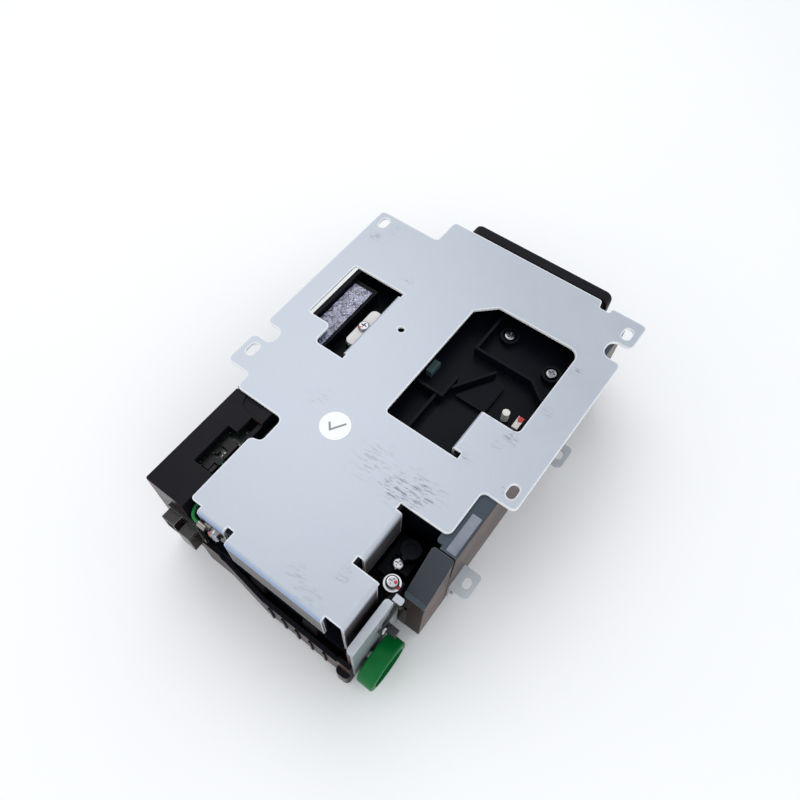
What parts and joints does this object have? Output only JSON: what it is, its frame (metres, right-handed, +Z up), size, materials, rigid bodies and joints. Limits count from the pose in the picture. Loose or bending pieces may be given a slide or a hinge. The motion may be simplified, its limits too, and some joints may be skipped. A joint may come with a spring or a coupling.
{
  "type": "bill validator",
  "caption": "Compact bill validator under a slotted mounting plate, with note mouth, coupled roller drive, green hand wheel, shutter and side brackets.",
  "frame": {"origin": "centre of the round locating hole, in the mounting plate's top face", "axes": "+Y along the note path towards the mouth, +X towards the side cover and hand wheel, +Z up, out of the mounting plate"},
  "size_m": [0.1407, 0.2083, 0.0616],
  "materials": {
    "zinc_sheet": "pale blue-grey zinc plate, satin",
    "zinc_bracket": "zinc plated, satin",
    "black_casing": "black moulded plastic, fine grain",
    "black_frame": "black moulded plastic",
    "shaft_steel": "ground steel",
    "screw_steel": "bright zinc",
    "roller_rubber": "matte rubber",
    "grey_rubber": "grey rubber on steel",
    "pulley_plastic": "white acetal",
    "belt_rubber": "rubber belt",
    "bush_bronze": "sintered bronze",
    "motor_can": "plated can",
    "shutter_plastic": "black acetal",
    "wheel_green": "green moulded plastic",
    "wire_green": "green insulation",
    "board_green": "solder resist",
    "chip_black": "epoxy and nylon",
    "cable_film": "crinkled film",
    "pale_plastic": "pale nylon",
    "clear_film": "clear film",
    "label_paper": "white paper"
  },
  "bodies": {
    "casing": {"bezel": "black_casing", "board_parts": "chip_black", "bracket_screws": "screw_steel", "cable_clamp": "pale_plastic", "clear_strip": "clear_film", "connector_board": "board_green", "drive_cover": "black_casing", "earth_screw": "screw_steel", "earth_wire": "wire_green", "flat_cable": "cable_film", "frame_screws": "screw_steel", "front_belt": "belt_rubber", "front_side_bracket": "zinc_bracket", "gate_solenoid": "motor_can", "housing_board": "board_green", "housing_parts": "chip_black", "inspection_label": "label_paper", "interface_connector": "chip_black", "left_housing": "black_casing", "lever_pin": "shaft_steel", "lower_chassis": "black_casing", "lower_note_guide": "black_frame", "lower_sensor_bar": "black_frame", "main_board": "board_green", "motor": "motor_can", "motor_plate": "zinc_bracket", "mounting_plate": "zinc_sheet", "power_connector": "chip_black", "pressure_springs": "zinc_bracket", "rear_belt": "belt_rubber", "rear_side_bracket": "zinc_bracket", "right_cover": "black_casing", "ring_terminal": "screw_steel", "screw_washer": "screw_steel", "sensor_carrier": "black_frame", "shaft_bushes": "bush_bronze", "small_plugs": "pale_plastic", "upper_frame": "black_frame", "upper_note_guide": "black_frame", "upper_sensor_bar": "black_frame", "washer_screw": "screw_steel", "wheel_bracket": "zinc_bracket"},
    "rear_drive": {"rear_drive_shaft": "shaft_steel", "rear_drive_rollers": "roller_rubber", "rear_pulley": "pulley_plastic", "hand_wheel": "wheel_green"},
    "middle_drive": {"middle_drive_shaft": "shaft_steel", "middle_drive_rollers": "roller_rubber", "middle_pulleys": "pulley_plastic", "drive_gear": "pulley_plastic"},
    "front_drive": {"front_drive_shaft": "shaft_steel", "front_drive_rollers": "roller_rubber", "front_pulley": "pulley_plastic"},
    "motor_rotor": {"motor_pinion": "shaft_steel"},
    "front_press": {"front_pressure_roller": "grey_rubber"},
    "middle_press": {"middle_pressure_roller": "grey_rubber"},
    "rear_press": {"rear_pressure_roller": "grey_rubber"},
    "shutter": {"entry_shutter": "shutter_plastic"},
    "plunger": {"solenoid_plunger": "shaft_steel"},
    "lever": {"lock_lever": "shutter_plastic"}
  },
  "joints": [
    {"name": "wheel_turn", "type": "hinge", "parent": "casing", "child": "rear_drive", "pos_m": [0.0277, -0.1133, -0.0482], "axis": [1, 0, 0], "continuous": true},
    {"name": "middle_turn", "type": "hinge", "parent": "casing", "child": "middle_drive", "pos_m": [0.0277, -0.035, -0.0482], "axis": [1, 0, 0], "continuous": true},
    {"name": "front_turn", "type": "hinge", "parent": "casing", "child": "front_drive", "pos_m": [0.0277, 0.024, -0.0482], "axis": [1, 0, 0], "continuous": true},
    {"name": "pinion_turn", "type": "hinge", "parent": "casing", "child": "motor_rotor", "pos_m": [0.0277, -0.04618, -0.03977], "axis": [1, 0, 0], "continuous": true},
    {"name": "front_press_turn", "type": "hinge", "parent": "casing", "child": "front_press", "pos_m": [0.0277, 0.024, -0.0344], "axis": [1, 0, 0], "continuous": true},
    {"name": "middle_press_turn", "type": "hinge", "parent": "casing", "child": "middle_press", "pos_m": [0.0277, -0.035, -0.0344], "axis": [1, 0, 0], "continuous": true},
    {"name": "rear_press_turn", "type": "hinge", "parent": "casing", "child": "rear_press", "pos_m": [0.0277, -0.1133, -0.0344], "axis": [1, 0, 0], "continuous": true},
    {"name": "shutter_turn", "type": "hinge", "parent": "casing", "child": "shutter", "pos_m": [0.0277, 0.043, -0.0455], "axis": [1, 0, 0], "range_deg": [0, 75], "stiffness_Nm_per_rad": 0.01, "springref_deg": -20.05},
    {"name": "plunger_pull", "type": "slide", "parent": "casing", "child": "plunger", "axis": [0, -1, 0], "range_m": [0, 0.00483]},
    {"name": "lever_turn", "type": "hinge", "parent": "casing", "child": "lever", "pos_m": [0.0699, -0.106, -0.026], "axis": [1, 0, 0], "range_deg": [0, 25]}
  ],
  "couplings": [
    {"joint": "middle_turn", "follows": "wheel_turn", "ratio": 1},
    {"joint": "front_turn", "follows": "wheel_turn", "ratio": 1},
    {"joint": "pinion_turn", "follows": "wheel_turn", "ratio": -1.8},
    {"joint": "front_press_turn", "follows": "wheel_turn", "ratio": -1.7},
    {"joint": "middle_press_turn", "follows": "wheel_turn", "ratio": -1.7},
    {"joint": "rear_press_turn", "follows": "wheel_turn", "ratio": -1.7},
    {"joint": "shutter_turn", "follows": "plunger_pull", "rad_per_m": 271}
  ]
}
